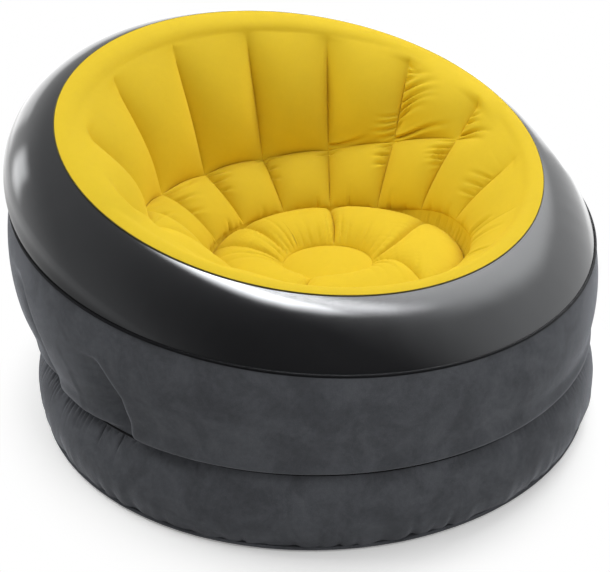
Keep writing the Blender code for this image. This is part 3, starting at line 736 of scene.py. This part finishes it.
print("Outside")
bandPanel = sweptPanel("glossyBand", evenColumns(outside["bandColumns"]), bandSection)
wallColumns = fluteColumns(outside["wallColumns"], outside["wallCrowding"])
wallPanel = sweptPanel("sideWall", wallColumns, wallSection)
drill = addPrimitive(
    bpy.ops.mesh.primitive_cylinder_add, "drill", vertices=valveSeat["steps"],
    radius=valveSeat["hole"], depth=valveSeat["drillLength"], rotation=(math.pi / 2, 0, 0),
    location=(0.0, valveSeat["face"], valveSeat["height"]))
cut = wallPanel.modifiers.new("ValveHole", "BOOLEAN")
cut.object = drill
bpy.ops.object.select_all(action="DESELECT")
bpy.context.view_layer.objects.active = wallPanel
bpy.ops.object.modifier_apply(modifier=cut.name)
bpy.data.objects.remove(drill)
basePanel = sweptPanel("baseRing", evenColumns(outside["baseColumns"]), baseSection)
floorPanel = sweptPanel("floorSheet", evenColumns(outside["floorColumns"]), floorSection)


# Welded seams: a round bead in each groove, and a thin wavy hem at the foot
seams = {"rimBead": 0.0009, "shoulderBead": 0.0026, "waistBead": 0.0020, "steps": 360, "roundness": 3,
         "hemWidth": 0.0022, "hemDrop": 0.002, "hemLeast": 0.0016, "hemThickness": 0.0012,
         "hemWave": 0.0016, "hemNoise": (14.0, 33.0, 0.6), "hemSway": 0.6,
         "hemSteps": (-0.4, 0.0, 0.5, 1.0), "hemColumns": 720}


def bead(name, loop, radius):
    piece = addPrimitive(bpy.ops.mesh.primitive_circle_add, name, vertices=seams["steps"], radius=1)
    for vertex in piece.data.vertices:
        angle = math.atan2(vertex.co.x, vertex.co.y)
        vertex.co = inSpace(loopPoint(loop, angle), angle)
    bpy.ops.object.convert(target="CURVE")
    piece.data.bevel_depth = radius
    piece.data.bevel_resolution = seams["roundness"]
    bpy.ops.object.convert(target="MESH")
    bpy.ops.object.shade_smooth()
    return piece


def hemSection(angle):
    foot = loopPoint("foot", angle)
    wave = seams["hemWave"] * twoWaves(Vector((math.sin(angle), math.cos(angle), 0.0)), *seams["hemNoise"])
    tip = foot + Vector((seams["hemWidth"] + wave * seams["hemSway"], wave - seams["hemDrop"]))
    tip.y = max(tip.y, seams["hemLeast"])
    return [foot.lerp(tip, share) for share in seams["hemSteps"]]


print("Seams")
rimSeam = bead("rimSeam", "rim", seams["rimBead"])
shoulderSeam = bead("shoulderSeam", "shoulder", seams["shoulderBead"])
waistSeam = bead("waistSeam", "waist", seams["waistBead"])
footHem = sweptPanel("footHem", evenColumns(seams["hemColumns"]), hemSection, seams["hemThickness"])


# Valve: the flange's weld, grip ribs on the plug's lid, and a raised rim on the cap
valveRings = [
    # name, body, radius, height off the flange's face, thickness
    ("flangeWeld", "chair", 0.0262, -0.0009, 0.0008),
    ("plugRibOuter", "plug", 0.0190, 0.0017, 0.0005),
    ("plugRibInner", "plug", 0.0170, 0.0017, 0.0005),
    ("capRim", "cap", 0.0088, 0.0031, 0.0004),
]


def valveRing(name, radius, height, thickness):
    ring = addPrimitive(
        bpy.ops.mesh.primitive_torus_add, name,
        major_segments=valveSeat["ringSteps"][0], minor_segments=valveSeat["ringSteps"][1],
        major_radius=radius, minor_radius=thickness, rotation=(math.pi / 2, 0, 0),
        location=(0.0, valveSeat["face"] + height, valveSeat["height"]))
    bpy.ops.object.transform_apply(location=True, rotation=True, scale=True)
    bpy.ops.object.shade_smooth()
    return ring


print("Valve")
ringPieces = [(valveRing(name, *sizes), body) for name, body, *sizes in valveRings]


# Materials
def newMaterial(name):
    material = bpy.data.materials.new(name)
    material.use_nodes = True
    tree = material.node_tree
    return material, tree, tree.nodes["Principled BSDF"]


def addNode(tree, kind, **values):
    node = tree.nodes.new(kind)
    for key, value in values.items():
        if hasattr(node, key):
            setattr(node, key, value)
        else:
            node.inputs[key.replace("_", " ")].default_value = value
    return node


def newGroup(name, inputs, outputs):
    group = bpy.data.node_groups.new(name, "ShaderNodeTree")
    for label, kind, value in inputs:
        socket = group.interface.new_socket(label, in_out="INPUT", socket_type=kind)
        socket.default_value = value
    for label, kind in outputs:
        group.interface.new_socket(label, in_out="OUTPUT", socket_type=kind)
    return group, group.nodes.new("NodeGroupInput"), group.nodes.new("NodeGroupOutput")


def feed(tree, socket, value):
    # Links an output to a socket, or sets the socket to a plain value
    if isinstance(value, bpy.types.NodeSocket):
        tree.links.new(value, socket)
    else:
        socket.default_value = value


def mathsOf(tree, operation, *values):
    node = addNode(tree, "ShaderNodeMath", operation=operation)
    for socket, value in zip(node.inputs, values):
        feed(tree, socket, value)
    return node.outputs[0]


def vectorOf(tree, operation, vector, output, **values):
    node = addNode(tree, "ShaderNodeVectorMath", operation=operation)
    feed(tree, node.inputs[0], vector)
    for label, value in values.items():
        feed(tree, node.inputs[label], value)
    return node.outputs[output]


def spanOf(tree, value, low, high, start=0.0, end=1.0, shape="SMOOTHSTEP"):
    # Maps low to high onto start to end
    node = addNode(tree, "ShaderNodeMapRange", interpolation_type=shape)
    labels = ("Value", "From Min", "From Max", "To Min", "To Max")
    for label, number in zip(labels, (value, low, high, start, end)):
        feed(tree, node.inputs[label], number)
    return node.outputs["Result"]


def mixOf(tree, kind, share, first, second):
    # Blends two numbers or two colours, whose sockets have the same names
    node = addNode(tree, "ShaderNodeMix", data_type=kind)
    *places, result = {"FLOAT": (0, 2, 3, 0), "RGBA": (0, 6, 7, 2)}[kind]
    for place, value in zip(places, (share, first, second)):
        feed(tree, node.inputs[place], value)
    return node.outputs[result]


def noiseOf(tree, place, look):
    node = addNode(tree, "ShaderNodeTexNoise", **look)
    feed(tree, node.inputs["Vector"], place)
    return node.outputs["Fac"]


def objectPlace(tree):
    return tree.nodes.new("ShaderNodeTexCoord").outputs["Object"]


nap = {
    "wide": {"Scale": 13.0, "Detail": 5.0, "Roughness": 0.62, "Distortion": 0.6},
    "close": {"Scale": 95.0, "Detail": 5.0, "Roughness": 0.65},
    "fine": {"Scale": 900.0, "Detail": 2.0, "Roughness": 0.7},
    "patch": (0.35, 0.68), "patchShare": 0.55, "closeShare": 0.85,
    "roughness": (0.82, 0.97), "closeHeight": 0.35, "bump": 0.0006,
}
smooth = {
    "ripple": {"Scale": 14.0, "Detail": 2.0, "Roughness": 0.4},
    "smear": {"Scale": 28.0, "Detail": 5.0, "Roughness": 0.65, "Distortion": 1.2},
    "shade": (0.3, 0.85), "bump": 0.002, "tint": (0.94, 0.97, 1.0, 1),
}
effectOutputs = [("Colour", "NodeSocketColor"), ("Roughness", "NodeSocketFloat"),
                 ("Height", "NodeSocketFloat")]


def makeFlockGroup():
    # Short flocked nap: stroked patches, soft mottling and a fine grain
    group, source, result = newGroup("flockNap", [
        ("Colour", "NodeSocketColor", (0.8, 0.8, 0.8, 1)),
        ("Stroked", "NodeSocketColor", (0.7, 0.7, 0.7, 1)),
        ("Patches", "NodeSocketFloat", 0.5),
        ("Grain", "NodeSocketFloat", 0.2),
    ], effectOutputs)
    place = objectPlace(group)
    wide, close, fine = (noiseOf(group, place, nap[size]) for size in ("wide", "close", "fine"))
    patches = mathsOf(group, "MULTIPLY", spanOf(group, wide, *nap["patch"]), nap["patchShare"])
    strokes = mathsOf(group, "MULTIPLY_ADD", close, nap["closeShare"], patches)
    amount = mathsOf(group, "MULTIPLY", strokes, source.outputs["Patches"])
    colour = mixOf(group, "RGBA", amount, source.outputs["Colour"], source.outputs["Stroked"])
    speck = mathsOf(group, "SUBTRACT", fine, 0.5)
    grain = mathsOf(group, "MULTIPLY_ADD", speck, source.outputs["Grain"], 1.0)
    feed(group, result.inputs["Colour"], vectorOf(group, "SCALE", colour, "Vector", Scale=grain))
    feed(group, result.inputs["Roughness"], spanOf(group, close, 0.0, 1.0, *nap["roughness"], "LINEAR"))
    feed(group, result.inputs["Height"], mathsOf(group, "MULTIPLY_ADD", close, nap["closeHeight"], fine))
    return group


def makeFilmGroup():
    # Smooth plastic film: slow ripples and faint smears
    group, source, result = newGroup("filmSurface", [
        ("Colour", "NodeSocketColor", (0.02, 0.02, 0.02, 1)),
        ("Roughness", "NodeSocketFloat", 0.1),
        ("Smears", "NodeSocketFloat", 0.05),
    ], effectOutputs)
    place = objectPlace(group)
    smear = noiseOf(group, place, smooth["smear"])
    shade = mathsOf(group, "MULTIPLY_ADD", smear, *smooth["shade"])
    colour = vectorOf(group, "SCALE", source.outputs["Colour"], "Vector", Scale=shade)
    rough = mathsOf(group, "MULTIPLY_ADD", smear, source.outputs["Smears"], source.outputs["Roughness"])
    feed(group, result.inputs["Colour"], colour)
    feed(group, result.inputs["Roughness"], rough)
    feed(group, result.inputs["Height"], noiseOf(group, place, smooth["ripple"]))
    return group


flockNap = makeFlockGroup()
filmSurface = makeFilmGroup()


def effectMaterial(name, group, look, bumpHeight):
    # A group's colour, roughness and height on a plain shader
    material, tree, shader = newMaterial(name)
    effect = tree.nodes.new("ShaderNodeGroup")
    effect.node_tree = group
    for socket in effect.inputs:
        value = look[socket.name.lower()]
        socket.default_value = (*value, 1) if socket.type == "RGBA" else value
    bump = addNode(tree, "ShaderNodeBump", Strength=look["bump"], Distance=bumpHeight)
    feed(tree, bump.inputs["Height"], effect.outputs["Height"])
    feed(tree, shader.inputs["Normal"], bump.outputs["Normal"])
    feed(tree, shader.inputs["Base Color"], effect.outputs["Colour"])
    feed(tree, shader.inputs["Roughness"], effect.outputs["Roughness"])
    return material, shader


def flockMaterial(name, look):
    material, shader = effectMaterial(name, flockNap, look, nap["bump"])
    shader.inputs["Specular IOR Level"].default_value = look["specular"]
    shader.inputs["Sheen Weight"].default_value = look["sheen"]
    shader.inputs["Sheen Roughness"].default_value = look["sheenRoughness"]
    shader.inputs["Sheen Tint"].default_value = (*look["sheenTint"], 1)
    return material


def filmMaterial(name, look):
    material, shader = effectMaterial(name, filmSurface, look, smooth["bump"])
    shader.inputs["IOR"].default_value = look["ior"]
    shader.inputs["Specular Tint"].default_value = smooth["tint"]
    return material


print("Materials")
yellowFlock = flockMaterial("yellowFlock", {
    "colour": (0.75, 0.535, 0.025), "stroked": (0.69, 0.485, 0.020),
    "patches": 0.5, "grain": 0.10, "bump": 0.25, "specular": 0.10,
    "sheen": 0.10, "sheenRoughness": 0.45, "sheenTint": (1.0, 0.82, 0.20)})
slateFlock = flockMaterial("slateFlock", {
    "colour": (0.046, 0.048, 0.054), "stroked": (0.104, 0.109, 0.121),
    "patches": 0.90, "grain": 0.75, "bump": 0.5, "specular": 0.20,
    "sheen": 0.42, "sheenRoughness": 0.34, "sheenTint": (0.85, 0.88, 0.95)})
glossVinyl = filmMaterial("glossVinyl", {
    "colour": (0.012, 0.012, 0.013), "roughness": 0.10, "smears": 0.05, "bump": 0.12, "ior": 1.50})
blackWeld = filmMaterial("blackWeld", {
    "colour": (0.008, 0.008, 0.009), "roughness": 0.60, "smears": 0.15, "bump": 0.2, "ior": 1.25})
rimWeld = filmMaterial("rimWeld", {
    "colour": (0.070, 0.056, 0.012), "roughness": 0.60, "smears": 0.15, "bump": 0.2, "ior": 1.30})
beamFilm = filmMaterial("beamFilm", {
    "colour": (0.30, 0.31, 0.33), "roughness": 0.35, "smears": 0.15, "bump": 0.2, "ior": 1.50})
valvePlastic = filmMaterial("valvePlastic", {
    "colour": (0.035, 0.036, 0.040), "roughness": 0.38, "smears": 0.10, "bump": 0.1, "ior": 1.46})

finishes = [
    (seatBack, yellowFlock, "yellow_flock", ["seat_back_panel"]),
    (seatBolster, yellowFlock, "yellow_flock", ["seat_bolster_ring"]),
    (seatWell, yellowFlock, "yellow_flock", ["seat_well_wall"]),
    (seatMiddle, yellowFlock, "yellow_flock", ["seat_disc"]),
    (bandPanel, glossVinyl, "gloss_vinyl", ["glossy_band"]),
    (wallPanel, slateFlock, "slate_flock", ["side_wall"]),
    (basePanel, slateFlock, "slate_flock", ["base_ring"]),
    (floorPanel, slateFlock, "slate_flock", ["floor_sheet"]),
    (rimSeam, rimWeld, "black_weld", ["rim_seam"]),
    (shoulderSeam, blackWeld, "black_weld", ["shoulder_seam"]),
    (waistSeam, blackWeld, "black_weld", ["waist_seam"]),
    (footHem, slateFlock, "slate_flock", ["foot_seam"]),
]
for piece, material, slot, nodes in finishes:
    piece.data.materials.clear()
    piece.data.materials.append(material)
    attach(piece, "chair")
    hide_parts(*nodes)
for piece, body in ringPieces:
    piece.data.materials.append(valvePlastic)
    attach(piece, body)

for node in bpy.data.objects:
    if node.type != "MESH" or node.hide_render:
        continue
    if "web" in node.name or "beam" in node.name:
        for slot in node.material_slots:
            slot.material = beamFilm
    if node.name.startswith("valve_"):
        for slot in node.material_slots:
            slot.material = valvePlastic


# Studio
studio = {
    "floorSize": 16.0, "floorColour": (0.80, 0.80, 0.79), "floorSeen": (1.35, 1.35, 1.34),
    "floorFade": (0.53, 0.66, 0.15), "floorFar": (0.9, 2.4), "floorGlow": (0.40, 1.25),
    "worldFill": 0.275, "glowLeast": 0.03,
    # Reflections: direction, from, to and strength of the bright right side and of the dim back
    "glow": [((0.996, -0.087, 0.0), 0.20, 0.80, 1.8), ((-0.30, 0.95, 0.0), -0.40, 0.60, 0.70),
             ((-0.30, 0.95, 0.0), 0.60, 1.00, 0.45)],
    "lamps": [
        # name, place, aim, width, height, power
        ("backSoftbox", (-1.2, 1.2, 2.1), (0.0, 0.0, 0.3), 1.2, 1.2, 27.0),
        ("rightSoftbox", (1.7, 0.0, 1.8), (0.0, 0.0, 0.3), 1.0, 1.0, 20.0),
        ("keySoftbox", (1.0, 0.4, 2.5), (0.0, 0.0, 0.3), 1.0, 1.0, 14.0),
        ("frontSoftbox", (0.0, -1.8, 2.0), (0.0, 0.0, 0.3), 1.2, 1.2, 12.5),
        ("lowSoftbox", (-1.6, -2.4, 0.3), (0.0, 0.0, 0.2), 0.9, 0.9, 5.0),
        ("sideSoftbox", (2.5, -0.9, 0.7), (0.0, 0.0, 0.25), 0.8, 0.8, 4.0),
    ],
    # Bright panels that only reflections show
    "cards": [
        # name, place, aim, width, height, strength, share of the panel that is plain
        ("stripCard", (0.74, 0.28, 2.2), (0.74, 0.28, 0.0), 1.35, 1.50, 27.0, 0.17),
        ("softCard", (1.85, 0.30, 2.2), (1.85, 0.30, 0.0), 2.2, 2.6, 2.6, 0.12),
        ("leftCard", (-1.42, 2.11, 1.12), (-0.54, 0.10, 1.12), 0.85, 1.70, 4.2, 0.12),
        ("backCard", (0.43, 2.70, 0.95), (0.0, 0.10, 0.95), 2.9, 1.50, 1.4, 0.34),
        ("rightCard", (3.25, 1.25, 1.10), (0.50, 0.10, 1.10), 1.5, 2.0, 3.0, 0.30),
    ],
}


def aim(item, target):
    item.rotation_euler = (Vector(target) - item.location).to_track_quat("-Z", "Y").to_euler()


print("Studio")
floor = addPrimitive(bpy.ops.mesh.primitive_plane_add, "studioFloor", size=studio["floorSize"])


def glowToward(tree, vector):
    # How bright the studio is in a direction, as reflections see it
    unit = vectorOf(tree, "NORMALIZE", vector, "Vector")
    total = 0.0
    for direction, low, high, strength in studio["glow"]:
        along = addNode(tree, "ShaderNodeVectorMath", operation="DOT_PRODUCT")
        feed(tree, along.inputs[0], unit)
        feed(tree, along.inputs[1], direction)
        tone = spanOf(tree, along.outputs["Value"], low, high, studio["glowLeast"], strength)
        total = mathsOf(tree, "ADD", total, tone)
    return total


def whiteWhenSeen(tree, path, tone, fill):
    # White to the camera, the studio's tone to reflections, and the plain fill to all other light
    mirror = mathsOf(tree, "MAXIMUM", path.outputs["Is Glossy Ray"], path.outputs["Is Transmission Ray"])
    reflected = mixOf(tree, "FLOAT", mirror, fill, tone)
    return mixOf(tree, "FLOAT", path.outputs["Is Camera Ray"], reflected, 1.0)


material, tree, shader = newMaterial("paleFloor")
path = tree.nodes.new("ShaderNodeLightPath")
seen = path.outputs["Is Camera Ray"]
tones = [(*studio[name], 1) for name in ("floorColour", "floorSeen")]
feed(tree, shader.inputs["Base Color"], mixOf(tree, "RGBA", seen, *tones))
shader.inputs["Roughness"].default_value = 1.0
shader.inputs["Specular IOR Level"].default_value = 0.0
# Away from the chair the floor runs out into the white backdrop
place = objectPlace(tree)
away = vectorOf(tree, "LENGTH", place, "Value")
shown = mathsOf(tree, "MAXIMUM", seen, path.outputs["Is Glossy Ray"])
white = mathsOf(tree, "MULTIPLY", spanOf(tree, away, *studio["floorFade"]), shown)
far = spanOf(tree, away, *studio["floorFar"], *studio["floorGlow"])
glow = mathsOf(tree, "MULTIPLY", glowToward(tree, place), far)
backdrop = tree.nodes.new("ShaderNodeEmission")
feed(tree, backdrop.inputs["Strength"], whiteWhenSeen(tree, path, glow, 0.0))
blend = tree.nodes.new("ShaderNodeMixShader")
for socket, value in zip(blend.inputs, (white, shader.outputs["BSDF"], backdrop.outputs["Emission"])):
    feed(tree, socket, value)
feed(tree, tree.nodes["Material Output"].inputs["Surface"], blend.outputs["Shader"])
floor.data.materials.append(material)

world = bpy.data.worlds.new("studioWorld")
bpy.context.scene.world = world
world.use_nodes = True
tree = world.node_tree
path = tree.nodes.new("ShaderNodeLightPath")
around = tree.nodes.new("ShaderNodeTexCoord").outputs["Generated"]
sky = tree.nodes["Background"]
glow = glowToward(tree, around)
feed(tree, sky.inputs["Strength"], whiteWhenSeen(tree, path, glow, studio["worldFill"]))
sky.inputs["Color"].default_value = (1.0, 1.0, 1.0, 1)

for name, place, target, width, height, power in studio["lamps"]:
    lamp = bpy.data.lights.new(name, "AREA")
    lamp.shape = "RECTANGLE"
    lamp.size = width
    lamp.size_y = height
    lamp.energy = power
    item = bpy.data.objects.new(name, lamp)
    bpy.context.scene.collection.objects.link(item)
    item.location = place
    aim(item, target)
    item.visible_glossy = False

for name, place, target, width, height, strength, plain in studio["cards"]:
    card = addPrimitive(bpy.ops.mesh.primitive_plane_add, name, size=1)
    bpy.ops.transform.resize(value=(width, height, 1.0))
    bpy.ops.object.transform_apply(location=False, rotation=False, scale=True)
    card.location = place
    aim(card, target)
    card.visible_camera = False
    card.visible_diffuse = False
    card.visible_shadow = False
    material, tree, shader = newMaterial(name + "Glow")
    # Strongest in the middle, with soft edges
    across = tree.nodes.new("ShaderNodeSeparateXYZ")
    feed(tree, across.inputs[0], objectPlace(tree))
    edges = []
    for axis, extent in (("X", width), ("Y", height)):
        spread = mathsOf(tree, "ABSOLUTE", across.outputs[axis])
        edges.append(spanOf(tree, spread, extent * plain, extent / 2, 1.0, 0.0))
    glow = tree.nodes.new("ShaderNodeEmission")
    level = mathsOf(tree, "MULTIPLY", *edges)
    feed(tree, glow.inputs["Strength"], mathsOf(tree, "MULTIPLY", level, strength))
    through = tree.nodes.new("ShaderNodeBsdfTransparent")
    both = tree.nodes.new("ShaderNodeAddShader")
    feed(tree, both.inputs[0], glow.outputs["Emission"])
    feed(tree, both.inputs[1], through.outputs["BSDF"])
    feed(tree, tree.nodes["Material Output"].inputs["Surface"], both.outputs["Shader"])
    card.data.materials.append(material)

# Camera: the photo's view, from the front left and above
cameraView = {"place": (-0.9747, -1.2673, 1.0403), "target": (0.0, -0.018, 0.3), "lens": 52.7,
              "sensor": 36.0, "photoWidth": 610, "shift": (-17.2, -52.5)}
camera = bpy.data.cameras.new("photoCamera")
camera.sensor_fit = "HORIZONTAL"
camera.sensor_width = cameraView["sensor"]
camera.lens = cameraView["lens"]
camera.shift_x, camera.shift_y = (pixels / cameraView["photoWidth"] for pixels in cameraView["shift"])
cameraItem = bpy.data.objects.new("photoCamera", camera)
bpy.context.scene.collection.objects.link(cameraItem)
cameraItem.location = cameraView["place"]
aim(cameraItem, cameraView["target"])
bpy.context.scene.camera = cameraItem
bpy.context.scene.view_settings.view_transform = "Standard"

bpy.context.view_layer.update()
